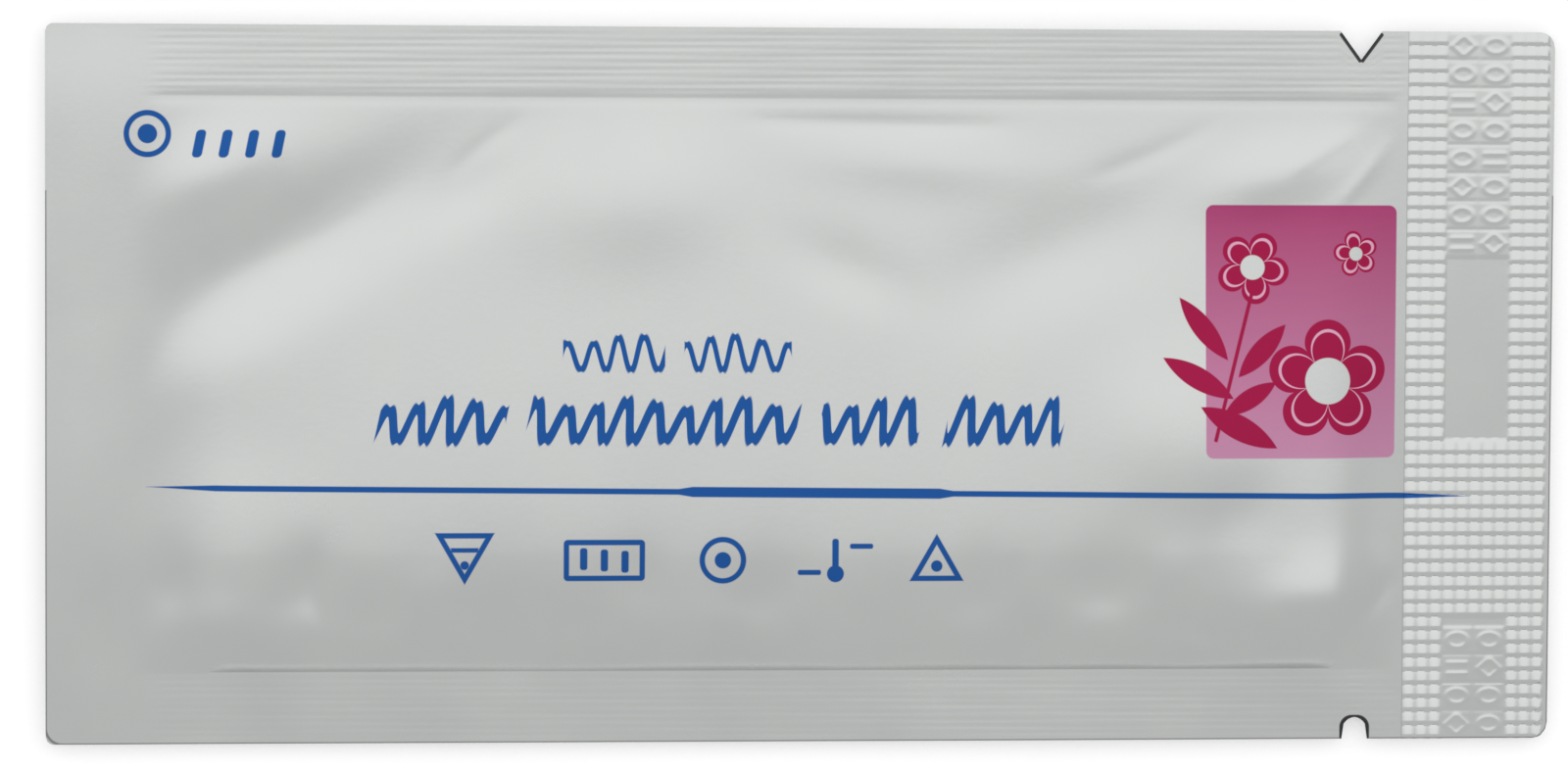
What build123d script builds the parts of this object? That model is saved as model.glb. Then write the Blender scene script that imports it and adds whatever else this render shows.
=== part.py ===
from build123d import *
import os
from math import cos, exp, radians, sin, sqrt

# A sealed foil sachet that holds one dipstick test, lying on its back. Millimetres.
# Origin: under the middle of the sachet, on the surface it lies on.
# +X runs along the sachet towards the knurled closing seal, +Y across it, +Z up.

# Outline of the two laminated foils
pouch_length = 110.0
pouch_width = 52.0
left_corner_radius = 0.6
right_corner_radius = 1.2
film_thickness = 0.1

# Heat seals round the chamber, and their height above the table
left_seal_width = 5.8
side_seal_width = 5.2
seal_height = 1.1

# How far the foils stand off the seals at the crest, where the strip and its desiccant lie,
# and how they get there from the four seals
front_bulge = 1.9
back_bulge = 1.5
crest_y = -12.0
left_rise_length = 8.0
right_rise_length = 7.0
upper_sag = 0.15  # how much the upper slope steepens towards the crest
shoulder_fall = 0.12  # share of the lower slope that starts at the crest
edge_fullness = 6.0  # how steeply the foil drops to the lower seal
crest_softness = 0.12

# Tear notches, one on each long edge, beside the closing seal
notch_from_end = 14.4
vee_notch_width = 3.1
vee_notch_depth = 2.1
arch_notch_width = 1.9
arch_notch_depth = 1.6
arch_notch_straight = 0.55

# Fine grooves that the sealing bars press into both sides of the long seals
groove_pitch = 0.52
groove_width = 0.2
groove_depth = 0.03
groove_edge_gap = 0.4
groove_start_gap = 1.0

# Knurl of the closing seal: small pyramids pressed through both foils
knurl_row_pitch = 1.0
knurl_column_pitch = 0.957
knurl_columns = 11
knurl_height = 0.22
knurl_edge_gap = 0.35
knurl_inner_gap = 0.15
knurl_lift = 0.02  # how far the valleys stand above the plain foil
knurl_root = 0.05  # how deep the knurl is let into the plain foil

# Plain fields that replace whole knurl cells for the batch stamp, at the upper and the
# lower end, with blank tiles stamped in them
stamp_first_column = 3
stamp_columns = 5
upper_field_rows = 30
lower_field_rows = 9
tile_pitch = 2.07
tile_gap = 0.3
tile_rise = 0.1
tile_columns = 2
upper_tile_rows = 8
lower_tile_rows = 4

# Shape of the filled front foil. Each swell is (x, y, half length, half width, turn, rise):
# an oval rise of the foil, or a dent where its rise is negative.
front_swells = [
    (-43.0, 15.5, 5.5, 2.6, 30, 0.25),  # air pillow in the upper left corner
    (-38.0, 9.5, 12.0, 3.4, 32, -0.50),  # valley below it
    (-44.0, -4.0, 7.0, 6.0, 0, -0.15),
    (-13.0, 13.5, 7.0, 4.5, 5, 0.22),  # full stretch below the upper seal
    (18.5, 10.0, 8.0, 3.6, 24, -0.22),
    (27.0, -4.0, 6.0, 6.0, 0, 0.30),  # curved ridge in the right half
    (34.5, 15.5, 5.0, 2.2, 14, 0.22),
    (37.5, -16.0, 5.5, 3.2, 10, 0.50),  # full lower right corner
    (-46.5, -14.5, 2.0, 2.6, 0, -0.18),  # scallops above the lower seal
    (-42.5, -17.5, 2.6, 2.2, 10, 0.14),
    (-37.0, -15.0, 2.0, 3.0, -25, -0.24),
    (-32.0, -17.0, 2.8, 2.2, 20, -0.20),
    (-18.0, -18.0, 6.0, 2.4, 0, -0.32),
    (-12.5, -14.5, 2.2, 2.4, 15, -0.14),
    (-3.5, -15.5, 2.2, 2.6, 0, -0.17),
    (4.5, -18.0, 3.6, 2.4, 0, -0.25),
    (12.5, -15.5, 2.2, 2.8, -10, -0.20),
    (17.0, -18.5, 2.4, 1.8, 0, -0.25),
    (21.5, -15.0, 3.2, 2.4, 10, -0.24),
    (28.0, -18.2, 3.0, 1.8, 0, -0.35),
]
# The same for the back foil, which is pressed flat where it meets the table
back_swells = [
    (-38.0, 14.0, 10.0, 5.0, 30, -0.50),
    (30.0, -15.0, 9.0, 4.0, -15, -0.45),
    (6.0, 16.0, 12.0, 3.0, 4, 0.30),
]
skin_spacing = 1.6  # distance between the points that a foil is drawn through
skin_margin = 1.0  # how far a foil is drawn past the chamber, to cut it cleanly
skin_softness = 0.12

# Worked out from the sizes above
seal_thickness = 2 * film_thickness
seal_bottom = seal_height - film_thickness
seal_top = seal_height + film_thickness
left_edge = -pouch_length / 2
right_edge = pouch_length / 2
upper_edge = pouch_width / 2
lower_edge = -pouch_width / 2
notch_x = right_edge - notch_from_end

knurl_length = knurl_columns * knurl_column_pitch
knurl_left = right_edge - knurl_edge_gap - knurl_length
knurl_right = knurl_left + knurl_length
knurl_rows = round(pouch_width / knurl_row_pitch)
fitted_row_pitch = pouch_width / knurl_rows

chamber_left = left_edge + left_seal_width
chamber_right = knurl_left - knurl_inner_gap
chamber_length = chamber_right - chamber_left
chamber_width = pouch_width - 2 * side_seal_width
chamber_x = (chamber_left + chamber_right) / 2
chamber_top = chamber_width / 2
chamber_bottom = -chamber_width / 2
foil_room = seal_top + 2 * front_bulge  # taller than the fullest foil can be

groove_left = chamber_left + groove_start_gap
groove_length = chamber_right - groove_left
groove_count = int((side_seal_width - 2 * groove_edge_gap) / groove_pitch) + 1

stamp_width = stamp_columns * knurl_column_pitch
stamp_x = knurl_left + stamp_first_column * knurl_column_pitch + stamp_width / 2
upper_field_length = upper_field_rows * fitted_row_pitch
lower_field_length = lower_field_rows * fitted_row_pitch
tile_width = stamp_width / tile_columns


def oval_rise(x, y, swell):
    """Height at (x, y) of one soft oval swell of a foil."""
    centre_x, centre_y, half_length, half_width, turn, rise = swell
    along = (x - centre_x) * cos(radians(turn)) + (y - centre_y) * sin(radians(turn))
    across = (y - centre_y) * cos(radians(turn)) - (x - centre_x) * sin(radians(turn))
    return rise * exp(-((along / half_length) ** 2) - (across / half_width) ** 2)


def soft_step(value):
    """From 0 to 1 with level ends, for a value from 0 to 1."""
    share = min(max(value, 0.0), 1.0)
    return share * share * (3 - 2 * share)


def soft_lower(a, b, softness):
    """The lower of two heights, rounded over where they meet."""
    return (a + b - sqrt((a - b) ** 2 + softness**2)) / 2


def crown(x, y):
    """Shape of the filled foil, 0 at its seals and about 1 along its crest."""
    from_left = soft_step((x - chamber_left) / left_rise_length)
    from_right = soft_step((chamber_right - x) / right_rise_length)
    up = max((chamber_top - y) / (chamber_top - crest_y), 0.0)
    rising = (1 - upper_sag) * up + upper_sag * up**2
    short = min(max((crest_y - y) / (crest_y - chamber_bottom), 0.0), 1.0)
    falling = 1 - shoulder_fall * short - (1 - shoulder_fall) * short**edge_fullness
    return from_left * from_right * soft_lower(rising, falling, crest_softness)


def foil_stand_off(x, y, bulge, swells):
    """How far a foil stands off the middle of the seals at (x, y)."""
    along = min(abs(2 * (x - chamber_x) / chamber_length), 1.0)
    across = min(abs(2 * y / chamber_width), 1.0)
    slack = (1 - along**14) * (1 - across**10)
    swell_sum = sum(oval_rise(x, y, swell) for swell in swells)
    height = bulge * crown(x, y) + slack * swell_sum
    return film_thickness / 2 + (height + sqrt(height**2 + skin_softness**2)) / 2


def foil_surface(side, bulge, swells):
    """One foil over the chamber; side is 1 for the front foil and -1 for the back one."""
    span_x = chamber_length + 2 * skin_margin
    span_y = chamber_width + 2 * skin_margin
    count_x = round(span_x / skin_spacing)
    count_y = round(span_y / skin_spacing)
    points = []
    for i in range(count_x + 1):
        x = chamber_x + span_x * (i / count_x - 0.5)
        ys = [span_y * (j / count_y - 0.5) for j in range(count_y + 1)]
        points.append([(x, y, seal_height + side * foil_stand_off(x, y, bulge, swells)) for y in ys])
    return Face.make_surface_from_array_of_points(points, tol=0.02)


def zigzag(start, pitch, count):
    """Profile points of a row of ridges, from valley to valley, above the plain foil."""
    valley = seal_top + knurl_lift
    points = [(start, valley)]
    for i in range(count):
        points.append((start + (i + 0.5) * pitch, valley + knurl_height))
        points.append((start + (i + 1) * pitch, valley))
    return points


# Outline of the foils: rounded corners and one tear notch in each long edge
with BuildSketch(Plane.XY.offset(seal_bottom)) as outline:
    Rectangle(pouch_length, pouch_width)
    corners = outline.vertices().group_by(Axis.X)
    fillet(corners[0], radius=left_corner_radius)
    fillet(corners[-1], radius=right_corner_radius)
    with BuildLine() as vee_notch:
        Polyline(
            (notch_x - vee_notch_width / 2, upper_edge),
            (notch_x, upper_edge - vee_notch_depth),
            (notch_x + vee_notch_width / 2, upper_edge),
            close=True,
        )
    make_face(mode=Mode.SUBTRACT)
    with BuildLine() as arch_notch:
        foot_left = (notch_x - arch_notch_width / 2, lower_edge)
        foot_right = (notch_x + arch_notch_width / 2, lower_edge)
        spring_left = (foot_left[0], lower_edge + arch_notch_straight)
        spring_right = (foot_right[0], lower_edge + arch_notch_straight)
        tip = (notch_x, lower_edge + arch_notch_depth)
        Polyline(spring_left, foot_left, foot_right, spring_right)
        TangentArc(spring_right, tip, tangent=(0, 1))
        TangentArc(spring_left, tip, tangent=(0, 1))
    make_face(mode=Mode.SUBTRACT)

# The filled chamber: a block between the seals, trimmed by the two bulging foils
with BuildPart() as chamber:
    with BuildSketch(Plane.XY.offset(-foil_room)) as chamber_foot:
        with Locations((chamber_x, 0)):
            Rectangle(chamber_length, chamber_width)
    extrude(amount=2 * foil_room)
    split(bisect_by=foil_surface(1, front_bulge, front_swells), keep=Keep.BOTTOM)
    split(bisect_by=foil_surface(-1, back_bulge, back_swells), keep=Keep.TOP)
    # the table presses the back flat
    split(bisect_by=Plane.XY, keep=Keep.TOP)

# Knurl: ridges along the seal crossed with ridges across it leave one pyramid per cell
with BuildPart() as knurl:
    with BuildSketch(Plane.YZ.offset(knurl_left)) as row_profile:
        with BuildLine():
            Polyline(
                *zigzag(lower_edge, fitted_row_pitch, knurl_rows),
                (upper_edge, seal_top - knurl_root),
                (lower_edge, seal_top - knurl_root),
                close=True,
            )
        make_face()
    extrude(amount=knurl_length)
    with BuildSketch(Plane.XZ.offset(-upper_edge)) as column_profile:
        with BuildLine():
            Polyline(
                *zigzag(knurl_left, knurl_column_pitch, knurl_columns),
                (knurl_right, seal_top - knurl_root),
                (knurl_left, seal_top - knurl_root),
                close=True,
            )
        make_face()
    extrude(amount=pouch_width, mode=Mode.INTERSECT)
    # plain fields for the stamp, at the upper and the lower end
    with BuildSketch(Plane.XY.offset(seal_top - knurl_root)) as stamp_fields:
        with Locations((stamp_x, upper_edge)):
            Rectangle(stamp_width, upper_field_length, align=(Align.CENTER, Align.MAX))
        with Locations((stamp_x, lower_edge)):
            Rectangle(stamp_width, lower_field_length, align=(Align.CENTER, Align.MIN))
    extrude(amount=knurl_root + knurl_lift + knurl_height, mode=Mode.SUBTRACT)
    # blank stamped tiles, two side by side
    with BuildSketch(Plane.XY.offset(seal_top - knurl_root)) as tiles:
        for rows, middle_y in (
            (upper_tile_rows, upper_edge - upper_tile_rows * tile_pitch / 2),
            (lower_tile_rows, lower_edge + lower_tile_rows * tile_pitch / 2),
        ):
            with Locations((stamp_x, middle_y)):
                with GridLocations(tile_width, tile_pitch, tile_columns, rows):
                    Rectangle(tile_width - tile_gap, tile_pitch - tile_gap)
    extrude(amount=knurl_root + tile_rise)
    # the corners of the pouch are round
    extrude(outline.sketch, amount=seal_thickness + foil_room, mode=Mode.INTERSECT)

# The whole sachet in one piece
with BuildPart() as foil_pouch:
    extrude(outline.sketch, amount=seal_thickness)
    for face_z, into_foil in ((seal_top, -1), (seal_bottom, 1)):
        with BuildSketch(Plane.XY.offset(face_z)) as grooves:
            for side in (-1, 1):
                band_y = side * (pouch_width - side_seal_width) / 2
                with Locations((groove_left + groove_length / 2, band_y)):
                    with GridLocations(groove_length, groove_pitch, 1, groove_count):
                        Rectangle(groove_length, groove_width)
        extrude(amount=into_foil * groove_depth, mode=Mode.SUBTRACT)
    add(chamber.part)
    add(knurl.part)
    # the back shows the same knurl as hollows
    add(knurl.part.moved(Location((0, 0, -seal_thickness))), mode=Mode.SUBTRACT)

foil_pouch.part.label = "foil_pouch"
os.makedirs("parts", exist_ok=True)
export_step(foil_pouch.part, "parts/foil_pouch.step")
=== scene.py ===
import math

import bpy
import numpy as np
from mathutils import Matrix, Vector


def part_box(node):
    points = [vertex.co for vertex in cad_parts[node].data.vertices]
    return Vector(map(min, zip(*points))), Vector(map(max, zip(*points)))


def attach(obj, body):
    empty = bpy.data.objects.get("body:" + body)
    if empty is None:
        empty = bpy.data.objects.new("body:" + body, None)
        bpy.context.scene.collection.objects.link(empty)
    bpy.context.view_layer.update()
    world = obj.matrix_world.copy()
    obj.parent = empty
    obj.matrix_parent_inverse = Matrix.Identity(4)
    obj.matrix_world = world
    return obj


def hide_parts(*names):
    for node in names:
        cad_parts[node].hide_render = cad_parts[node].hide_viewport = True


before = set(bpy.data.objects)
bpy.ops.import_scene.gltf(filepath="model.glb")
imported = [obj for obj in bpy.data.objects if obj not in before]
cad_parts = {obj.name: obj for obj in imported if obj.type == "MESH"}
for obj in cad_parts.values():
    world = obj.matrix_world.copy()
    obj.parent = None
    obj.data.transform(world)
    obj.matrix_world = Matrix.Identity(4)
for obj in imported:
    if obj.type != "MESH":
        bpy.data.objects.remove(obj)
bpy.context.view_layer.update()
pouchLow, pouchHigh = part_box("foil_pouch")
mm = 0.001  # shapes are worked out in millimetres and written to the meshes in metres
print("frame loaded")

# The sealed pouch: what carries over from the solid, in millimetres
pouch = {
    "leftEnd": pouchLow.x / mm,
    "rightEnd": pouchHigh.x / mm,
    "lowerEdge": pouchLow.y / mm,
    "upperEdge": pouchHigh.y / mm,
    "sealHeight": 1.1,
    "film": 0.1,
    "leftSeal": 5.8,
    "sideSeal": 5.2,
    "knurlStart": 44.123,
    "chamberGap": 0.15,
    "leftCorner": 0.6,
    "rightCorner": 1.2,
    "notchX": 40.6,
    "veeWidth": 3.1,
    "veeDepth": 2.1,
    "archWidth": 1.9,
    "archDepth": 1.6,
    "archStraight": 0.55,
}
chamberLeft = pouch["leftEnd"] + pouch["leftSeal"]
chamberRight = pouch["knurlStart"] - pouch["chamberGap"]
chamberTop = pouch["upperEdge"] - pouch["sideSeal"]
chamberBottom = pouch["lowerEdge"] + pouch["sideSeal"]
plateTop = pouch["sealHeight"] + pouch["film"]

# How the two foils stand off the seals, in millimetres
filling = {
    "frontCrown": 1.83,
    "backCrown": 1.5,
    "crestY": -12.0,  # the strip and its sachet lie along this line
    "riseLeft": 8.0,
    "riseRight": 7.0,
    "sag": 0.15,  # how much the upper slope steepens towards the crest
    "shoulderFall": 0.12,  # share of the lower slope that starts at the crest
    "edgeFullness": 7.0,  # how steeply the foil drops to the lower seal
    "ridgeSoftness": 0.12,
}

# Oval swells and dents of the front foil: x, y, half length, half width, turn, rise
frontSwells = [
    (-43.0, 15.5, 5.5, 2.6, 30, 0.25),  # air pillow in the upper left corner
    (-38.0, 9.5, 12.0, 3.4, 32, -0.50),  # valley below it
    (-44.0, -4.0, 7.0, 6.0, 0, -0.15),
    (-25.0, 14.0, 3.5, 2.0, 35, -0.10),
    (-13.0, 13.5, 7.0, 4.5, 5, 0.22),  # full stretch below the upper seal
    (3.0, 8.5, 4.5, 2.2, -25, -0.10),
    (8.0, 16.3, 8.0, 2.0, -4, 0.10),
    (18.5, 10.0, 8.0, 3.6, 24, -0.22),
    (27.0, -4.0, 6.0, 6.0, 0, 0.30),  # curved ridge in the right half
    (34.5, 15.5, 5.0, 2.2, 14, 0.22),
    (37.5, -16.0, 5.5, 3.2, 10, 0.50),  # full lower right corner
    (31.5, -9.5, 3.0, 2.5, 40, -0.10),
    (-46.5, -14.5, 2.0, 2.6, 0, -0.18),  # scallops above the lower seal
    (-42.5, -17.5, 2.6, 2.2, 10, 0.14),
    (-37.0, -15.0, 2.0, 3.0, -25, -0.24),
    (-32.0, -17.0, 2.8, 2.2, 20, -0.20),
    (-27.5, -15.0, 2.2, 2.0, 0, 0.08),
    (-18.0, -18.0, 6.0, 2.4, 0, -0.32),
    (-12.5, -14.5, 2.2, 2.4, 15, -0.14),
    (-7.0, -17.5, 2.6, 1.8, 0, 0.08),
    (-3.5, -15.5, 2.2, 2.6, 0, -0.17),
    (4.5, -18.0, 3.6, 2.4, 0, -0.25),
    (12.5, -15.5, 2.2, 2.8, -10, -0.20),
    (17.0, -18.5, 2.4, 1.8, 0, -0.25),
    (21.5, -15.0, 3.2, 2.4, 10, -0.24),
    (26.5, -13.5, 2.2, 2.2, 20, 0.10),
    (28.0, -18.2, 3.0, 1.8, 0, -0.35),
]
backSwells = [
    (-38.0, 14.0, 10.0, 5.0, 30, -0.50),
    (30.0, -15.0, 9.0, 4.0, -15, -0.45),
    (6.0, 16.0, 12.0, 3.0, 4, 0.30),
]

# Low waves of the seals themselves, in the same form
sealWaves = [
    (-52.5, -11.0, 4.0, 11.0, 0, 0.32),
    (-51.0, 27.0, 7.0, 5.0, 0, -0.16),
    (18.0, 27.0, 26.0, 4.5, 0, 0.07),
    (18.0, -27.0, 14.0, 4.0, 0, 0.14),
    (-40.0, -27.0, 9.0, 4.0, 0, -0.05),
]

# Creases of the front foil: start x, y, bend x, y, end x, y, half width, rise
frontCreases = [
    (-5.0, 19.3, 5.0, 18.9, 15.0, 18.9, 0.35, -0.09),
    (-26.0, 15.0, -24.0, 17.5, -20.5, 19.5, 0.4, -0.05),
    (35.5, 15.5, 37.0, 17.2, 40.5, 18.6, 0.4, 0.07),
    (38.0, 12.5, 41.0, 15.0, 43.0, 18.5, 0.4, 0.06),
    (20.0, 15.0, 25.0, 16.5, 30.0, 19.2, 0.5, -0.05),
    (-35.5, -11.5, -37.0, -14.5, -34.5, -18.0, 0.4, -0.10),
    (15.5, -12.0, 14.5, -15.0, 16.5, -18.5, 0.4, -0.08),
    (26.5, -17.2, 30.0, -18.6, 35.0, -18.8, 0.4, -0.14),
    (39.0, -18.6, 42.0, -16.5, 43.4, -13.5, 0.5, -0.12),
]

# Fine grooves that the sealing bars leave in the side seals
grooves = {
    "pitch": 0.52,
    "depth": 0.011,
    "edgeGap": 0.4,
    "innerGap": 0.3,
    "soft": 0.2,  # over which the grooves run out at both sides
    "start": -48.2,
    "runOut": 2.0,  # and at their left end
    "pressLine": 0.03,  # depth of the line that the bar's edge leaves at the upper seal
    "pressWidth": 0.35,
}

# Knurl of the closing seal and the plain fields of the batch stamp in it
knurl = {
    "rowPitch": 1.0,
    "columnPitch": 0.957,
    "columns": 11,
    "height": 0.2,
    "lift": 0.02,
    "climbShare": 0.2,  # share of a cell's width over which it rises
    "fallPower": 0.8,
    "cellHalf": 0.95,  # where a cell ends along its row, and how softly
    "cellSoft": 0.45,
    "saddle": 0.45,  # height between two cells of a row, as a share
    "stampFirst": 3,
    "stampColumns": 5,
    "upperField": 30.0,
    "lowerField": 9.0,
    "tilePitch": 2.07,
    "tileRise": 0.1,
    "tileBase": 0.45,  # share of the rise that the plain face of a tile has
    "upperTiles": 8,
    "lowerTiles": 4,
}
knurlEnd = pouch["knurlStart"] + knurl["columns"] * knurl["columnPitch"]
stampLeft = pouch["knurlStart"] + knurl["stampFirst"] * knurl["columnPitch"]
stampRight = stampLeft + knurl["stampColumns"] * knurl["columnPitch"]


def smoothStep(value):
    t = np.clip(value, 0, 1)
    return t * t * (3 - 2 * t)


def smoothMax(a, b, softness):
    return 0.5 * (a + b + np.sqrt((a - b) ** 2 + softness**2))


def smoothMin(a, b, softness):
    return 0.5 * (a + b - np.sqrt((a - b) ** 2 + softness**2))


def ovalRise(x, y, swells):
    total = np.zeros_like(x)
    for midX, midY, halfLength, halfWidth, turn, rise in swells:
        c, s = math.cos(math.radians(turn)), math.sin(math.radians(turn))
        along = ((x - midX) * c + (y - midY) * s) / halfLength
        across = ((y - midY) * c - (x - midX) * s) / halfWidth
        total += rise * np.exp(-(along**2) - across**2)
    return total


def creaseRise(x, y, creases):
    total = np.zeros_like(x)
    for startX, startY, bendX, bendY, endX, endY, halfWidth, rise in creases:
        nearest = np.full_like(x, 1e9)
        place = np.zeros_like(x)
        steps = 14
        for i in range(steps + 1):
            t = i / steps
            lineX = (1 - t) ** 2 * startX + 2 * t * (1 - t) * bendX + t * t * endX
            lineY = (1 - t) ** 2 * startY + 2 * t * (1 - t) * bendY + t * t * endY
            if i:
                alongX, alongY = lineX - lastX, lineY - lastY
                share = ((x - lastX) * alongX + (y - lastY) * alongY) / (alongX**2 + alongY**2)
                share = np.clip(share, 0, 1)
                apart = np.hypot(x - lastX - share * alongX, y - lastY - share * alongY)
                closer = apart < nearest
                nearest = np.where(closer, apart, nearest)
                place = np.where(closer, (i - 1 + share) / steps, place)
            lastX, lastY = lineX, lineY
        fade = np.sin(math.pi * np.clip(place, 0.02, 0.98)) ** 0.7
        total += rise * fade / np.cosh(nearest / halfWidth)
    return total


def chamberShare(x, y):
    # 1 over most of the chamber, 0 at its seals
    u = np.clip(2 * (x - chamberLeft) / (chamberRight - chamberLeft) - 1, -1, 1)
    v = np.clip(2 * (y - chamberBottom) / (chamberTop - chamberBottom) - 1, -1, 1)
    return (1 - u**24) * (1 - v**14)


def crownShape(x, y):
    fromLeft = smoothStep((x - chamberLeft) / filling["riseLeft"])
    fromRight = smoothStep((chamberRight - x) / filling["riseRight"])
    up = np.clip((chamberTop - y) / (chamberTop - filling["crestY"]), 0, None)
    rising = (1 - filling["sag"]) * up + filling["sag"] * up**2
    down = np.clip((y - chamberBottom) / (filling["crestY"] - chamberBottom), 0, None)
    short = np.clip(1 - down, 0, 1)
    early = filling["shoulderFall"]
    falling = 1 - early * short - (1 - early) * short ** filling["edgeFullness"]
    return fromLeft * fromRight * smoothMin(rising, falling, filling["ridgeSoftness"])


def grooveRise(x, y):
    fromEdge = np.minimum(pouch["upperEdge"] - y, y - pouch["lowerEdge"])
    starting = smoothStep((x - grooves["start"]) / grooves["runOut"])
    band = smoothStep((fromEdge - grooves["edgeGap"]) / grooves["soft"])
    band *= smoothStep((pouch["sideSeal"] - grooves["innerGap"] - fromEdge) / grooves["soft"])
    band *= starting * smoothStep((chamberRight - x) / 0.5)
    strength = 0.6 + 0.4 * np.sin(x * 0.31 + 2.1 * np.floor(fromEdge / grooves["pitch"]))
    wave = 0.5 + 0.5 * np.cos(2 * math.pi * fromEdge / grooves["pitch"])
    line = np.exp(-(((y - chamberTop) / grooves["pressWidth"]) ** 2))
    line *= starting * smoothStep((chamberRight - x) / grooves["runOut"])
    return -grooves["depth"] * band * strength * wave - grooves["pressLine"] * line


def sealLift(x, y):
    return ovalRise(x, y, sealWaves)


def frontHeight(x, y):
    standOff = filling["frontCrown"] * crownShape(x, y)
    standOff += chamberShare(x, y) * ovalRise(x, y, frontSwells)
    standOff += smoothStep(chamberShare(x, y) / 0.1) * creaseRise(x, y, frontCreases)
    skin = pouch["film"] + smoothMax(standOff, np.zeros_like(x), 0.05) - 0.025
    return pouch["sealHeight"] + sealLift(x, y) + skin + grooveRise(x, y)


def backHeight(x, y):
    standOff = filling["backCrown"] * crownShape(x, y)
    standOff += chamberShare(x, y) * ovalRise(x, y, backSwells)
    skin = smoothMax(standOff, np.zeros_like(x), 0.05) - 0.025
    low = pouch["sealHeight"] + sealLift(x, y) - skin
    return np.maximum(smoothMax(low, np.zeros_like(x), 0.06) - 0.03, 0)


def knurlRise(x, y):
    column = (x - pouch["knurlStart"]) / knurl["columnPitch"]
    row = (y - pouch["lowerEdge"]) / knurl["rowPitch"]
    u = 2 * (column - np.floor(column)) - 1
    v = 2 * (row - np.floor(row)) - 1
    # each cell rises gently away from the upper edge and drops at its lower side
    climb = (v + 1) / 2
    shingle = smoothStep(climb / knurl["climbShare"]) * (1 - climb) ** knurl["fallPower"]
    window = smoothStep((knurl["cellHalf"] - np.abs(u)) / knurl["cellSoft"])
    pillow = knurl["saddle"] * (1 - window) + window * shingle
    inside = (column >= 0) & (column <= knurl["columns"])
    inStamp = (x > stampLeft) & (x < stampRight)
    fromTop = pouch["upperEdge"] - y
    fromBottom = y - pouch["lowerEdge"]
    plain = inStamp & ((fromTop < knurl["upperField"]) | (fromBottom < knurl["lowerField"]))
    rise = np.where(inside & ~plain, knurl["height"] * pillow + knurl["lift"], 0)
    # two columns of tiles with grooves between them
    upperTiles = fromTop < knurl["upperTiles"] * knurl["tilePitch"]
    lowerTiles = fromBottom < knurl["lowerTiles"] * knurl["tilePitch"]
    tileRow = np.where(upperTiles, fromTop, fromBottom) / knurl["tilePitch"]
    tileColumn = 2 * (x - stampLeft) / (stampRight - stampLeft)
    s = 2 * (tileColumn - np.floor(tileColumn)) - 1
    t = 2 * (tileRow - np.floor(tileRow)) - 1
    tile = (1 - np.abs(t) ** 16) * (1 - np.abs(s) ** 24)
    motif = stampMotif(np.floor(tileRow) + 3 * np.floor(tileColumn), s, t)
    stamped = knurl["tileRise"] * tile * (knurl["tileBase"] + (1 - knurl["tileBase"]) * motif)
    return np.where(plain & (upperTiles | lowerTiles), stamped, rise)


# Figures on the stamped tiles, as shares of a tile's half width
figures = {"ring": 0.62, "squash": 1.25, "bars": 0.38, "barEnd": 0.75, "diamond": 0.7, "kinds": 5}
figures.update({"line": 0.15, "barLine": 0.13})


def raisedLine(distance, halfWidth):
    return np.exp(-((distance / halfWidth) ** 2))


def stampMotif(kind, s, t):
    ring = raisedLine(np.hypot(s, t * figures["squash"]) - figures["ring"], figures["line"])
    bars = raisedLine(np.abs(t) - figures["bars"], figures["barLine"])
    bars *= smoothStep((figures["barEnd"] - np.abs(s)) / 0.1)
    diamond = raisedLine(np.abs(s) + np.abs(t) - figures["diamond"], figures["line"])
    which = np.mod(kind, figures["kinds"])
    return np.where(which == 0, diamond, np.where(which == 2, bars, ring))


def outlineTop(x):
    top = np.full_like(x, pouch["upperEdge"])
    fromVee = np.abs(x - pouch["notchX"])
    half = pouch["veeWidth"] / 2
    top -= pouch["veeDepth"] * np.clip(1 - fromVee / half, 0, 1)
    return top - cornerCut(x)


def outlineBottom(x):
    bottom = np.full_like(x, pouch["lowerEdge"])
    half = pouch["archWidth"] / 2
    fromArch = np.abs(x - pouch["notchX"])
    rise = pouch["archDepth"] - pouch["archStraight"]
    radius = (half**2 + rise**2) / (2 * half)
    bow = np.sqrt(np.clip(radius**2 - (fromArch - half + radius) ** 2, 0, None))
    bottom += np.where(fromArch < half, pouch["archStraight"] + bow, 0)
    return bottom + cornerCut(x)


def cornerCut(x):
    left, right = pouch["leftCorner"], pouch["rightCorner"]
    intoLeft = np.clip(left - (x - pouch["leftEnd"]), 0, left)
    intoRight = np.clip(right - (pouch["rightEnd"] - x), 0, right)
    return left - np.sqrt(left**2 - intoLeft**2) + right - np.sqrt(right**2 - intoRight**2)


def spaced(*stops):
    # places along a line: pairs of a start and the number of steps to the next start
    places = [
        np.linspace(start, following, steps, endpoint=False)
        for (start, steps), (following, _) in zip(stops, stops[1:])
    ]
    return np.concatenate(places + [[stops[-1][0]]])


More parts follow.
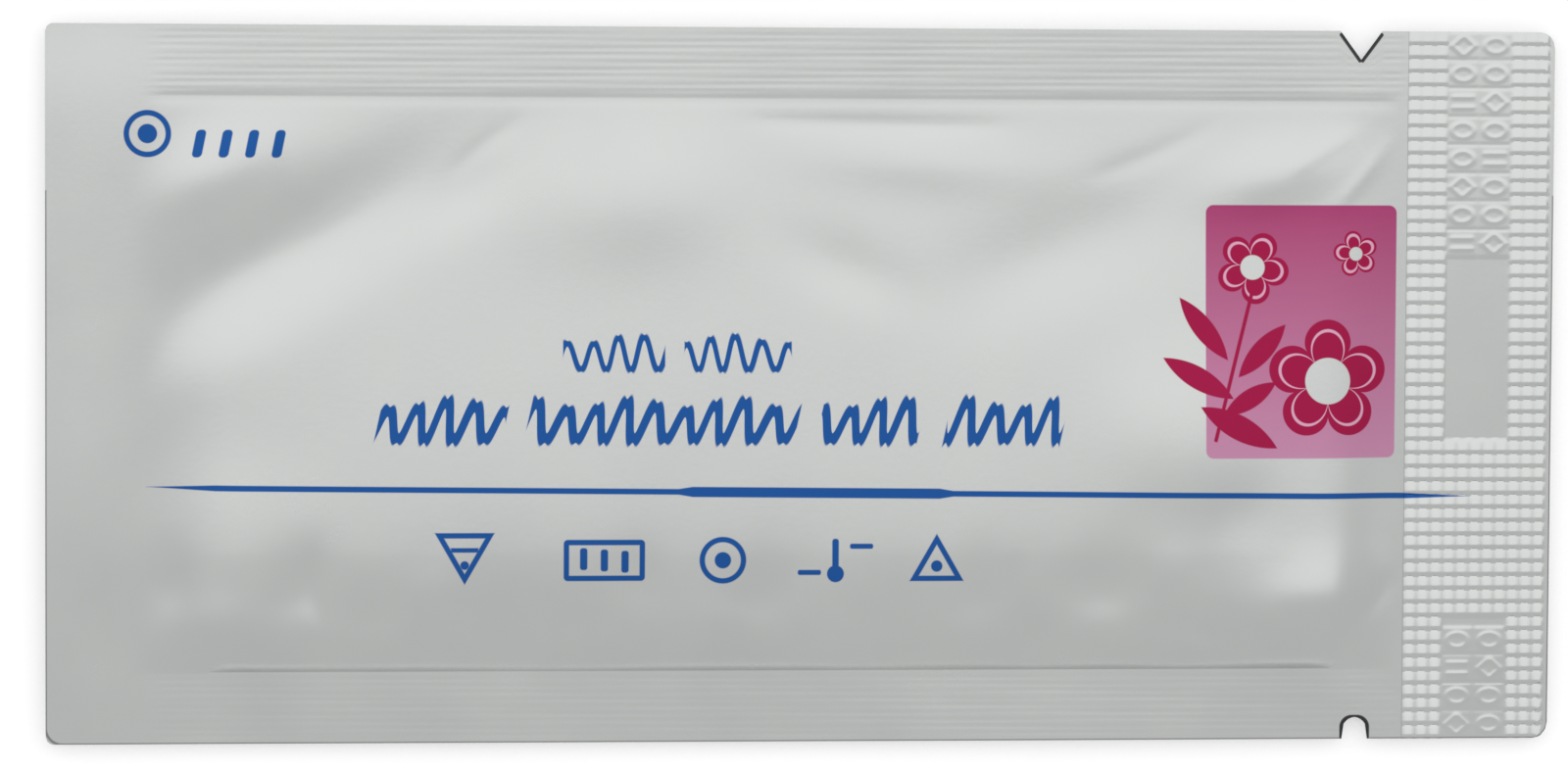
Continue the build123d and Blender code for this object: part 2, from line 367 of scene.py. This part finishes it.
def addFoilBlock(name, xs, ys, front, back):
    bpy.ops.object.select_all(action="DESELECT")
    bpy.ops.mesh.primitive_grid_add(x_subdivisions=len(xs) - 1, y_subdivisions=len(ys) - 1, size=1)
    block = bpy.context.object
    block.name = name
    block.data.name = name
    bpy.ops.object.mode_set(mode="EDIT")
    bpy.ops.mesh.select_all(action="SELECT")
    bpy.ops.mesh.extrude_region_move(TRANSFORM_OT_translate={"value": (0, 0, 1)})
    bpy.ops.mesh.select_all(action="SELECT")
    bpy.ops.mesh.normals_make_consistent(inside=False)
    bpy.ops.object.mode_set(mode="OBJECT")
    count = len(block.data.vertices)
    places = np.empty(count * 3)
    block.data.vertices.foreach_get("co", places)
    places = places.reshape(-1, 3)
    column = np.rint((places[:, 0] + 0.5) * (len(xs) - 1)).astype(int)
    row = np.rint((places[:, 1] + 0.5) * (len(ys) - 1)).astype(int)
    onFront = places[:, 2] > 0.5
    x, y = xs[column], ys[row]
    # the rows of both side seals are drawn in to the outline, notches and corners too
    above = np.clip(y - chamberTop, 0, None) / pouch["sideSeal"]
    below = np.clip(chamberBottom - y, 0, None) / pouch["sideSeal"]
    y = np.where(above > 0, chamberTop + above * (outlineTop(x) - chamberTop), y)
    y = np.where(below > 0, chamberBottom - below * (chamberBottom - outlineBottom(x)), y)
    z = np.where(onFront, front(x, y), back(x, y))
    block.data.vertices.foreach_set("co", (np.stack([x, y, z], 1) * mm).ravel())
    block.data.update()
    bpy.ops.object.shade_smooth_by_angle(angle=math.radians(40))
    print(name, count, "vertices")
    return block


# The body of the pouch, from the left end to the knurl
leftArc = pouch["leftEnd"] + pouch["leftCorner"]
veeLeft = pouch["notchX"] - pouch["veeWidth"] / 2
veeRight = pouch["notchX"] + pouch["veeWidth"] / 2
archLeft = pouch["notchX"] - pouch["archWidth"] / 2
archRight = pouch["notchX"] + pouch["archWidth"] / 2
nearWall = 0.01
bodyColumns = spaced(
    (pouch["leftEnd"], 5),
    (leftArc, 8),
    (chamberLeft, 188),
    (veeLeft, 2),
    (archLeft - nearWall, 1),
    (archLeft, 6),
    (pouch["notchX"], 6),
    (archRight, 1),
    (archRight + nearWall, 2),
    (veeRight, 6),
    (pouch["knurlStart"], 0),
)
bodyRows = spaced(
    (pouch["lowerEdge"], 38), (chamberBottom, 100), (chamberTop, 38), (pouch["upperEdge"], 0)
)
body = addFoilBlock("sealed_foil", bodyColumns, bodyRows, frontHeight, backHeight)

# The knurled closing seal, a mesh of its own so that each cell is fine enough
cellSteps = 6
rowSteps = 8
sealColumns = spaced(
    (pouch["knurlStart"], knurl["columns"] * cellSteps), (knurlEnd, 3), (pouch["rightEnd"], 0)
)
knurlRows = round((pouch["upperEdge"] - pouch["lowerEdge"]) / knurl["rowPitch"])
sealRows = spaced((pouch["lowerEdge"], knurlRows * rowSteps), (pouch["upperEdge"], 0))


def sealFront(x, y):
    return plateTop + knurlRise(x, y)


def sealBack(x, y):
    return plateTop - 2 * pouch["film"] + knurlRise(x, y)


closingSeal = addFoilBlock("closing_seal", sealColumns, sealRows, sealFront, sealBack)


# Nodes: numbers are set on a socket and anything else is linked to it
def feed(tree, socket, value):
    if hasattr(value, "is_linked"):
        tree.links.new(value, socket)
    else:
        socket.default_value = value


def calculate(tree, operation, *values):
    node = tree.nodes.new("ShaderNodeMath")
    node.operation = operation
    for socket, value in zip(node.inputs, values):
        feed(tree, socket, value)
    return node.outputs[0]


def startGroup(name, numbers, outputs):
    # a group that takes a place and named numbers, all in millimetres or degrees
    group = bpy.data.node_groups.new(name, "ShaderNodeTree")
    group.interface.new_socket("Place", in_out="INPUT", socket_type="NodeSocketVector")
    for number, value in numbers.items():
        socket = group.interface.new_socket(number, in_out="INPUT", socket_type="NodeSocketFloat")
        socket.default_value = value
    for output in outputs:
        group.interface.new_socket(output, in_out="OUTPUT", socket_type="NodeSocketFloat")
    return group, group.nodes.new("NodeGroupInput"), group.nodes.new("NodeGroupOutput")


def useGroup(tree, group, place, **numbers):
    node = tree.nodes.new("ShaderNodeGroup")
    node.node_tree = group
    tree.links.new(place, node.inputs["Place"])
    for number, value in numbers.items():
        feed(tree, node.inputs[number], value)
    return node


def makeLocalAxes():
    # a place seen from the middle of a mark, turned and slanted with it
    group, entry, leave = startGroup(
        "localAxes", {"X": 0, "Y": 0, "Turn": 0, "Slant": 0}, ["Along", "Across"]
    )
    parts = group.nodes.new("ShaderNodeSeparateXYZ")
    group.links.new(entry.outputs["Place"], parts.inputs[0])
    right = calculate(group, "SUBTRACT", parts.outputs["X"], entry.outputs["X"])
    up = calculate(group, "SUBTRACT", parts.outputs["Y"], entry.outputs["Y"])
    angle = calculate(group, "RADIANS", entry.outputs["Turn"])
    cosine = calculate(group, "COSINE", angle)
    sine = calculate(group, "SINE", angle)
    along = calculate(group, "MULTIPLY", right, cosine)
    along = calculate(group, "MULTIPLY_ADD", up, sine, along)
    across = calculate(group, "MULTIPLY", up, cosine)
    sideways = calculate(group, "MULTIPLY", right, sine)
    across = calculate(group, "SUBTRACT", across, sideways)
    lean = calculate(group, "MULTIPLY", across, entry.outputs["Slant"])
    along = calculate(group, "SUBTRACT", along, lean)
    group.links.new(along, leave.inputs["Along"])
    group.links.new(across, leave.inputs["Across"])
    return group


localAxes = makeLocalAxes()
placing = {"X": 0, "Y": 0, "Turn": 0, "Slant": 0}


def markAxes(group, entry):
    axes = useGroup(
        group, localAxes, entry.outputs["Place"], **{key: entry.outputs[key] for key in placing}
    )
    return axes.outputs["Along"], axes.outputs["Across"]


def makeBar():
    # a bar with round corners; Distance is below 0 inside it
    group, entry, leave = startGroup(
        "printBar", {**placing, "Half Length": 1, "Half Height": 1, "Round": 0}, ["Distance"]
    )
    along, across = markAxes(group, entry)
    sides = []
    for offset, half in ((along, "Half Length"), (across, "Half Height")):
        side = calculate(group, "ABSOLUTE", offset)
        side = calculate(group, "SUBTRACT", side, entry.outputs[half])
        sides.append(calculate(group, "ADD", side, entry.outputs["Round"]))
    outer = [calculate(group, "MAXIMUM", side, 0) for side in sides]
    squares = calculate(group, "MULTIPLY", outer[0], outer[0])
    squares = calculate(group, "MULTIPLY_ADD", outer[1], outer[1], squares)
    outside = calculate(group, "SQRT", squares)
    inside = calculate(group, "MINIMUM", calculate(group, "MAXIMUM", *sides), 0)
    distance = calculate(group, "ADD", outside, inside)
    distance = calculate(group, "SUBTRACT", distance, entry.outputs["Round"])
    group.links.new(distance, leave.inputs["Distance"])
    return group


def makeBlossom():
    # an oval with waves round its edge: petals, or a plain disc where Depth is 0
    group, entry, leave = startGroup(
        "printBlossom", {**placing, "Radius": 1, "Stretch": 1, "Petals": 5, "Depth": 0}, ["Distance"]
    )
    along, across = markAxes(group, entry)
    across = calculate(group, "MULTIPLY", across, entry.outputs["Stretch"])
    squares = calculate(group, "MULTIPLY", along, along)
    squares = calculate(group, "MULTIPLY_ADD", across, across, squares)
    reach = calculate(group, "SQRT", squares)
    bearing = calculate(group, "ARCTAN2", across, along)
    half = calculate(group, "MULTIPLY", entry.outputs["Petals"], 0.5)
    petal = calculate(group, "COSINE", calculate(group, "MULTIPLY", bearing, half))
    petal = calculate(group, "ABSOLUTE", petal)
    petal = calculate(group, "POWER", petal, 0.6)
    petal = calculate(group, "SUBTRACT", 1, petal)
    notch = calculate(group, "MULTIPLY", petal, entry.outputs["Depth"])
    edge = calculate(group, "SUBTRACT", 1, notch)
    edge = calculate(group, "MULTIPLY", edge, entry.outputs["Radius"])
    group.links.new(calculate(group, "SUBTRACT", reach, edge), leave.inputs["Distance"])
    return group


def makeLeaf():
    # a pointed oval, where two circles overlap
    group, entry, leave = startGroup(
        "printLeaf", {**placing, "Half Length": 2, "Half Width": 0.7}, ["Distance"]
    )
    along, across = markAxes(group, entry)
    half, width = entry.outputs["Half Length"], entry.outputs["Half Width"]
    squares = calculate(group, "MULTIPLY", half, half)
    squares = calculate(group, "MULTIPLY_ADD", width, width, squares)
    radius = calculate(group, "DIVIDE", squares, calculate(group, "MULTIPLY", width, 2))
    off = calculate(group, "SUBTRACT", radius, width)
    off = calculate(group, "ADD", off, calculate(group, "ABSOLUTE", across))
    reach = calculate(group, "MULTIPLY", along, along)
    reach = calculate(group, "SQRT", calculate(group, "MULTIPLY_ADD", off, off, reach))
    group.links.new(calculate(group, "SUBTRACT", reach, radius), leave.inputs["Distance"])
    return group


def makeTriangle():
    # Point is 1 where it stands on its base and -1 where it stands on its tip
    group, entry, leave = startGroup(
        "printTriangle", {**placing, "Inner Radius": 1, "Point": 1}, ["Distance"]
    )
    along, across = markAxes(group, entry)
    across = calculate(group, "MULTIPLY", across, entry.outputs["Point"])
    slope = calculate(group, "MULTIPLY", calculate(group, "ABSOLUTE", along), 0.866)
    slope = calculate(group, "MULTIPLY_ADD", across, 0.5, slope)
    base = calculate(group, "MULTIPLY", across, -1)
    distance = calculate(group, "MAXIMUM", slope, base)
    distance = calculate(group, "SUBTRACT", distance, entry.outputs["Inner Radius"])
    group.links.new(distance, leave.inputs["Distance"])
    return group


def makeRipple():
    # a waving ribbon that stands for a printed word, with no letters in it
    group, entry, leave = startGroup(
        "printRipple",
        {**placing, "Half Length": 5, "Height": 3, "Half Stroke": 0.25, "Wave": 2.4, "Seed": 0},
        ["Distance"],
    )
    along, across = markAxes(group, entry)
    seed = entry.outputs["Seed"]
    height = entry.outputs["Height"]
    drift = calculate(group, "SINE", calculate(group, "MULTIPLY_ADD", along, 0.83, seed))
    turns = calculate(group, "DIVIDE", 2 * math.pi, entry.outputs["Wave"])
    phase = calculate(group, "MULTIPLY_ADD", along, turns, seed)
    phase = calculate(group, "MULTIPLY_ADD", drift, 0.3, phase)
    swing = calculate(group, "MULTIPLY_ADD", drift, 0.06, 0.4)
    swing = calculate(group, "MULTIPLY", swing, height)
    line = calculate(group, "MULTIPLY_ADD", calculate(group, "SINE", phase), swing, swing)
    line = calculate(group, "MULTIPLY_ADD", height, -0.5, line)
    slope = calculate(group, "MULTIPLY", calculate(group, "COSINE", phase), swing)
    slope = calculate(group, "MULTIPLY", slope, turns)
    steepness = calculate(group, "SQRT", calculate(group, "MULTIPLY_ADD", slope, slope, 1))
    apart = calculate(group, "ABSOLUTE", calculate(group, "SUBTRACT", across, line))
    distance = calculate(group, "DIVIDE", apart, steepness)
    distance = calculate(group, "SUBTRACT", distance, entry.outputs["Half Stroke"])
    past = calculate(group, "ABSOLUTE", along)
    past = calculate(group, "SUBTRACT", past, entry.outputs["Half Length"])
    group.links.new(calculate(group, "MAXIMUM", distance, past), leave.inputs["Distance"])
    return group


def makeRule():
    # a thin line that is heavier in its middle and runs out to hairlines
    numbers = {**placing, "Half Length": 40, "Half Height": 0.2, "Taper": 6}
    numbers.update({"Heavy": 0.1, "Heavy Half Length": 10})
    group, entry, leave = startGroup("printRule", numbers, ["Distance"])
    along, across = markAxes(group, entry)
    out = calculate(group, "ABSOLUTE", along)
    left = calculate(group, "SUBTRACT", entry.outputs["Half Length"], out)
    share = calculate(group, "DIVIDE", left, entry.outputs["Taper"])
    share = calculate(group, "MINIMUM", calculate(group, "MAXIMUM", share, 0), 1)
    width = calculate(group, "MULTIPLY", share, entry.outputs["Half Height"])
    near = calculate(group, "SUBTRACT", entry.outputs["Heavy Half Length"], out)
    near = calculate(group, "MINIMUM", calculate(group, "MAXIMUM", near, 0), 1)
    width = calculate(group, "MULTIPLY_ADD", near, entry.outputs["Heavy"], width)
    distance = calculate(group, "SUBTRACT", calculate(group, "ABSOLUTE", across), width)
    past = calculate(group, "MULTIPLY", left, -1)
    group.links.new(calculate(group, "MAXIMUM", distance, past), leave.inputs["Distance"])
    return group


printBar, printBlossom, printLeaf = makeBar(), makeBlossom(), makeLeaf()
printTriangle, printRipple, printRule = makeTriangle(), makeRipple(), makeRule()
inkEdge = 0.05  # how far an ink fades at its edge


def inkMask(tree, distances, outline=0):
    # 1 where any of the shapes is printed; with an outline, only along their edges
    nearest = None
    for distance in distances:
        nearest = distance if nearest is None else calculate(tree, "MINIMUM", nearest, distance)
    if outline:
        nearest = calculate(tree, "SUBTRACT", calculate(tree, "ABSOLUTE", nearest), outline)
    step = tree.nodes.new("ShaderNodeMapRange")
    step.interpolation_type = "SMOOTHSTEP"
    feed(tree, step.inputs["Value"], nearest)
    step.inputs["From Min"].default_value = -inkEdge
    step.inputs["From Max"].default_value = inkEdge
    step.inputs["To Min"].default_value = 1
    step.inputs["To Max"].default_value = 0
    return step.outputs["Result"]


def either(tree, masks):
    total = masks[0]
    for mask in masks[1:]:
        total = calculate(tree, "MAXIMUM", total, mask)
    return total


def blend(tree, share, under, over):
    mix = tree.nodes.new("ShaderNodeMix")
    mix.data_type = "RGBA"
    shareSocket, underSocket, overSocket = mix.inputs[0], mix.inputs[6], mix.inputs[7]
    feed(tree, shareSocket, share)
    feed(tree, underSocket, under)
    feed(tree, overSocket, over)
    return mix.outputs[2]


# What is printed on the front, in millimetres: plain marks with no letters in them
words = [  # x, y, half length, height, half stroke, wave, seed, slant, turn
    (-14.1, 2.5, 3.7, 2.5, 0.21, 1.9, 0.4, 0.0, 0),
    (-5.1, 2.5, 3.9, 2.5, 0.21, 1.85, 2.0, 0.0, 0),
    (-26.5, -2.4, 4.6, 2.7, 0.36, 2.1, 1.2, 0.22, 0),
    (-10.5, -2.4, 9.8, 2.7, 0.36, 2.15, 3.7, 0.22, 0),
    (4.6, -2.4, 3.7, 2.7, 0.36, 2.1, 0.2, 0.22, 0),
    (14.5, -2.4, 4.3, 2.7, 0.36, 2.05, 4.4, 0.22, 0),
]
dashes = {"x": -44.0, "y": 17.4, "pitch": 1.9, "count": 4, "halfLength": 0.36, "halfHeight": 1.0}
ruleLine = {"x": 0.6, "y": -7.72, "turn": -0.45, "halfLength": 48.4, "halfHeight": 0.21}
ruleLine.update({"taper": 5.0, "heavy": 0.16, "heavyHalfLength": 10.0})
markRing = {"x": -47.7, "y": 18.1, "disc": 0.7, "ring": 1.5}
signs = {"left": -24.9, "box": -14.8, "ring": -6.2, "stem": 2.0, "right": 9.4, "y": -12.6, "line": 0.2}
signBars = [  # sign, x and y from its middle, half length, half height, corner
    ("left", 0.0, 0.75, 1.0, 0.17, 0.0),
    ("box", -1.5, 0.1, 0.27, 0.8, 0.2),
    ("box", 0.0, 0.0, 0.27, 0.8, 0.2),
    ("box", 1.5, -0.1, 0.27, 0.8, 0.2),
    ("stem", 0.0, 0.35, 0.24, 1.2, 0.2),
    ("stem", -1.9, -0.9, 0.85, 0.19, 0.15),
    ("stem", 1.9, 1.0, 0.85, 0.19, 0.15),
]
signDiscs = [  # sign, y from its middle, radius
    ("left", -0.35, 0.32),
    ("ring", 0.0, 0.6),
    ("stem", -1.0, 0.62),
    ("right", -0.45, 0.42),
]
panel = {"x": 36.25, "y": 4.0, "halfLength": 7.1, "halfHeight": 9.25, "round": 0.57}
flowers = [  # x, y, radius, turn, heart radius
    (38.2, 0.4, 4.5, 18, 1.7),
    (32.6, 8.7, 2.7, -10, 0.9),
    (40.3, 9.7, 1.7, 30, 0.5),
]
leaves = [  # x, y, half length, half width, turn
    (29.0, 4.2, 2.9, 0.75, 128),
    (28.6, 0.6, 3.0, 0.8, 150),
    (31.6, -3.0, 3.2, 0.9, 152),
    (33.3, 2.6, 2.6, 0.75, 48),
    (32.4, -0.9, 2.3, 0.7, 32),
]
twig = {"x": 31.2, "y": 1.4, "halfLength": 5.6, "halfHeight": 0.14, "turn": 76}
inks = {
    "blue": (0.0125, 0.095, 0.35, 1),
    "panelTop": (0.42, 0.06, 0.18, 1),
    "panelFoot": (0.58, 0.27, 0.43, 1),
    "petal": (0.37, 0.008, 0.065, 1),
    "petalLight": (0.74, 0.4, 0.55, 1),
}
# dark colour painted as shadow in the notches and as contact shadow along the cut edges
paintedShade = {"halfWidth": 0.16, "color": (0.05, 0.052, 0.055, 1), "archCorner": 0.9}
paintedShade.update({"edgeHalf": 0.09, "edgeTop": 14.0, "edgeShare": 0.6})
blossoms = {"petalDepth": 0.42, "veinShare": 0.82, "veinDepth": 0.62, "veinHalf": 0.11}
finish = {
    "darkSilver": (0.585, 0.6, 0.592, 1),
    "paleSilver": (0.655, 0.668, 0.655, 1),
    "cloudScale": 0.12,
    "grainScale": 2.2,
    "grainStrength": 0.3,
    "grainDepth": 0.00001,
    "gloss": 0.22,
    "cloudGloss": 0.08,
    "inkGloss": 0.1,
    "inkMetal": -0.2,
}

foil = bpy.data.materials.new("satinFoil")
foil.use_nodes = True
tree = foil.node_tree
shader = tree.nodes["Principled BSDF"]
where = tree.nodes.new("ShaderNodeTexCoord")
scaled = tree.nodes.new("ShaderNodeVectorMath")
scaled.operation = "SCALE"
tree.links.new(where.outputs["Object"], scaled.inputs[0])
scaled.inputs["Scale"].default_value = 1 / mm
place = scaled.outputs[0]
axes = tree.nodes.new("ShaderNodeSeparateXYZ")
tree.links.new(place, axes.inputs[0])
facing = tree.nodes.new("ShaderNodeSeparateXYZ")
tree.links.new(where.outputs["Normal"], facing.inputs[0])
onFront = calculate(tree, "GREATER_THAN", facing.outputs["Z"], 0)


def bar(x, y, halfLength, halfHeight, corner=0.0, turn=0.0, slant=0.0):
    numbers = {"X": x, "Y": y, "Half Length": halfLength, "Half Height": halfHeight}
    numbers.update({"Round": corner, "Turn": turn, "Slant": slant})
    return useGroup(tree, printBar, place, **numbers).outputs[0]


def blossom(x, y, radius, turn=0.0, stretch=1.0, petals=5.0, depth=0.0):
    numbers = {"X": x, "Y": y, "Radius": radius, "Turn": turn, "Stretch": stretch}
    numbers.update({"Petals": petals, "Depth": depth})
    return useGroup(tree, printBlossom, place, **numbers).outputs[0]


def leaf(x, y, halfLength, halfWidth, turn):
    numbers = {"X": x, "Y": y, "Half Length": halfLength, "Half Width": halfWidth, "Turn": turn}
    return useGroup(tree, printLeaf, place, **numbers).outputs[0]


def triangle(x, y, innerRadius, point):
    numbers = {"X": x, "Y": y, "Inner Radius": innerRadius, "Point": point}
    return useGroup(tree, printTriangle, place, **numbers).outputs[0]


# blue marks
filled = []
for x, y, halfLength, height, halfStroke, wave, seed, slant, turn in words:
    numbers = {"X": x, "Y": y, "Half Length": halfLength, "Height": height, "Turn": turn}
    numbers.update({"Half Stroke": halfStroke, "Wave": wave, "Seed": seed, "Slant": slant})
    filled.append(useGroup(tree, printRipple, place, **numbers).outputs[0])
for i in range(dashes["count"]):
    x = dashes["x"] + i * dashes["pitch"]
    filled.append(bar(x, dashes["y"], dashes["halfLength"], dashes["halfHeight"], 0.3, 0, 0.2))
filled.append(blossom(markRing["x"], markRing["y"], markRing["disc"]))
signY = signs["y"]
for sign, right, up, halfLength, halfHeight, corner in signBars:
    filled.append(bar(signs[sign] + right, signY + up, halfLength, halfHeight, corner))
for sign, up, radius in signDiscs:
    filled.append(blossom(signs[sign], signY + up, radius))
numbers = {"X": ruleLine["x"], "Y": ruleLine["y"], "Turn": ruleLine["turn"]}
numbers.update({"Half Length": ruleLine["halfLength"], "Half Height": ruleLine["halfHeight"]})
numbers.update({"Taper": ruleLine["taper"], "Heavy": ruleLine["heavy"]})
numbers["Heavy Half Length"] = ruleLine["heavyHalfLength"]
filled.append(useGroup(tree, printRule, place, **numbers).outputs[0])
outlined = [
    blossom(markRing["x"], markRing["y"], markRing["ring"]),
    bar(signs["box"], signY, 2.75, 1.3, 0.1),
    triangle(signs["left"], signY + 0.75, 1.05, -1.0),
    triangle(signs["right"], signY - 0.4, 0.95, 1.0),
    blossom(signs["ring"], signY, 1.5),
]
blueMask = either(tree, [inkMask(tree, filled), inkMask(tree, outlined, signs["line"])])

# the panel with its flowers
panelMask = inkMask(
    tree, [bar(panel["x"], panel["y"], panel["halfLength"], panel["halfHeight"], panel["round"])]
)
petals, veins, hearts = [], [], []
for x, y, radius, turn, heart in flowers:
    petals.append(blossom(x, y, radius, turn, depth=blossoms["petalDepth"]))
    inner = blossoms["veinShare"] * radius
    veins.append(blossom(x, y, inner, turn, depth=blossoms["veinDepth"]))
    hearts.append(blossom(x, y, heart))
petalMask = inkMask(tree, petals)
veinMask = inkMask(tree, veins, blossoms["veinHalf"])
heartMask = inkMask(tree, hearts)
leafMask = inkMask(
    tree,
    [leaf(*numbers) for numbers in leaves]
    + [bar(twig["x"], twig["y"], twig["halfLength"], twig["halfHeight"], 0.1, twig["turn"])],
)
down = tree.nodes.new("ShaderNodeMapRange")
tree.links.new(axes.outputs["Y"], down.inputs["Value"])
down.inputs["From Min"].default_value = panel["y"] + panel["halfHeight"]
down.inputs["From Max"].default_value = panel["y"] - panel["halfHeight"]
panelInk = blend(tree, down.outputs["Result"], inks["panelTop"], inks["panelFoot"])
panelInk = blend(tree, petalMask, panelInk, inks["petal"])
panelInk = blend(tree, veinMask, panelInk, inks["petalLight"])
panelShare = either(tree, [panelMask, petalMask])
bare = calculate(tree, "SUBTRACT", 1, heartMask)
panelShare = calculate(tree, "MULTIPLY", panelShare, bare)

# painted shadow in the notches and a painted dark contact shadow along the lower and side cut edges
veeHalf = pouch["veeWidth"] / 2
veeTurn = math.degrees(math.atan2(pouch["veeDepth"], veeHalf))
veeY = pouch["upperEdge"] - pouch["veeDepth"] / 2 - paintedShade["halfWidth"]
armLength = math.hypot(veeHalf, pouch["veeDepth"]) / 2
notchShadows = [
    bar(pouch["notchX"] - veeHalf / 2, veeY, armLength, paintedShade["halfWidth"], 0.1, -veeTurn),
    bar(pouch["notchX"] + veeHalf / 2, veeY, armLength, paintedShade["halfWidth"], 0.1, veeTurn),
    bar(
        pouch["notchX"],
        pouch["lowerEdge"],
        pouch["archWidth"] / 2 + paintedShade["halfWidth"],
        pouch["archDepth"] + paintedShade["halfWidth"],
        paintedShade["archCorner"],
    ),
]
halfLong, halfWide = pouch["rightEnd"], pouch["upperEdge"]
# painted contact shadow along the outline, kept only below edgeTop
edgeShadowLine = inkMask(tree, [bar(0, 0, halfLong, halfWide, pouch["rightCorner"])], paintedShade["edgeHalf"])
below = calculate(tree, "LESS_THAN", axes.outputs["Y"], paintedShade["edgeTop"])
edgeShadowLine = calculate(tree, "MULTIPLY", edgeShadowLine, below)
edgeShadowLine = calculate(tree, "MULTIPLY", edgeShadowLine, paintedShade["edgeShare"])
paintedShadowMask = calculate(tree, "MAXIMUM", inkMask(tree, notchShadows), edgeShadowLine)

# foil: faint clouding in colour and gloss, fine grain in its relief
noise = tree.nodes.new("ShaderNodeTexNoise")
tree.links.new(place, noise.inputs["Vector"])
noise.inputs["Scale"].default_value = finish["cloudScale"]
noise.inputs["Detail"].default_value = 4
grain = tree.nodes.new("ShaderNodeTexNoise")
tree.links.new(place, grain.inputs["Vector"])
grain.inputs["Scale"].default_value = finish["grainScale"]
grain.inputs["Detail"].default_value = 3
silver = blend(tree, noise.outputs[0], finish["darkSilver"], finish["paleSilver"])
color = blend(tree, calculate(tree, "MULTIPLY", panelShare, onFront), silver, panelInk)
color = blend(tree, calculate(tree, "MULTIPLY", leafMask, onFront), color, inks["petal"])
color = blend(tree, calculate(tree, "MULTIPLY", blueMask, onFront), color, inks["blue"])
# the painted notch shadows and painted edge contact shadow are laid over the front in a dark colour
color = blend(tree, calculate(tree, "MULTIPLY", paintedShadowMask, onFront), color, paintedShade["color"])
tree.links.new(color, shader.inputs["Base Color"])
inked = calculate(tree, "MULTIPLY", either(tree, [blueMask, panelShare, leafMask]), onFront)
metal = calculate(tree, "MULTIPLY_ADD", inked, finish["inkMetal"], 1)
tree.links.new(metal, shader.inputs["Metallic"])
gloss = calculate(tree, "MULTIPLY_ADD", noise.outputs[0], finish["cloudGloss"], finish["gloss"])
gloss = calculate(tree, "MULTIPLY_ADD", inked, finish["inkGloss"], gloss)
tree.links.new(gloss, shader.inputs["Roughness"])
bump = tree.nodes.new("ShaderNodeBump")
bump.inputs["Strength"].default_value = finish["grainStrength"]
bump.inputs["Distance"].default_value = finish["grainDepth"]
tree.links.new(grain.outputs[0], bump.inputs["Height"])
tree.links.new(bump.outputs[0], shader.inputs["Normal"])
for piece in (body, closingSeal):
    piece.data.materials.append(foil)
    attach(piece, "root")
    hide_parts("foil_pouch")
print("foil material ready")

# Floor, light and camera
stage = {"floorSize": 4.0, "floorColor": (0.9, 0.9, 0.9, 1), "worldLevel": 0.69, "floorGlow": 0.3}
bpy.ops.object.select_all(action="DESELECT")
bpy.ops.mesh.primitive_plane_add(size=stage["floorSize"], location=(0, 0, -0.00005))
floor = bpy.context.object
floor.name = "floor"
paper = bpy.data.materials.new("palePaper")
paper.use_nodes = True
paperTree = paper.node_tree
paperShader = paperTree.nodes["Principled BSDF"]
paperShader.inputs["Base Color"].default_value = stage["floorColor"]
paperShader.inputs["Roughness"].default_value = 0.9
paperShader.inputs["Specular IOR Level"].default_value = 0
paperShader.inputs["Emission Color"].default_value = (1, 1, 1, 1)
rays = paperTree.nodes.new("ShaderNodeLightPath")
seen = calculate(paperTree, "MAXIMUM", rays.outputs["Is Camera Ray"], rays.outputs["Is Glossy Ray"])
seen = calculate(paperTree, "MAXIMUM", seen, rays.outputs["Is Transmission Ray"])
glow = calculate(paperTree, "MULTIPLY", seen, stage["floorGlow"])
paperTree.links.new(glow, paperShader.inputs["Emission Strength"])
floor.data.materials.append(paper)

world = bpy.data.worlds.new("studio")
bpy.context.scene.world = world
world.use_nodes = True
world.node_tree.nodes["Background"].inputs["Color"].default_value = (1, 1, 1, 1)
world.node_tree.nodes["Background"].inputs["Strength"].default_value = stage["worldLevel"]

softbox = {"low": 0.02, "high": 0.75, "width": 1.4, "height": 0.6, "power": 1.45}
middle = (softbox["low"] + softbox["high"]) / 2
bpy.ops.object.light_add(type="AREA", location=(0, middle, softbox["height"]))
lamp = bpy.context.object
lamp.name = "softbox"
lamp.data.shape = "RECTANGLE"
lamp.data.size = softbox["width"]
lamp.data.size_y = softbox["high"] - softbox["low"]
lamp.data.energy = softbox["power"]

photoCamera = {
    "place": (-0.04027, 0.02259, 0.42642),
    "turn": (-3.062, -5.17, 0.318),
    "lens": 135,
}
bpy.ops.object.camera_add(
    location=photoCamera["place"], rotation=[math.radians(a) for a in photoCamera["turn"]]
)
camera = bpy.context.object
camera.data.lens = photoCamera["lens"]
camera.data.sensor_width = 36
camera.data.clip_start = 0.01
bpy.context.scene.camera = camera
bpy.context.scene.view_settings.view_transform = "Standard"
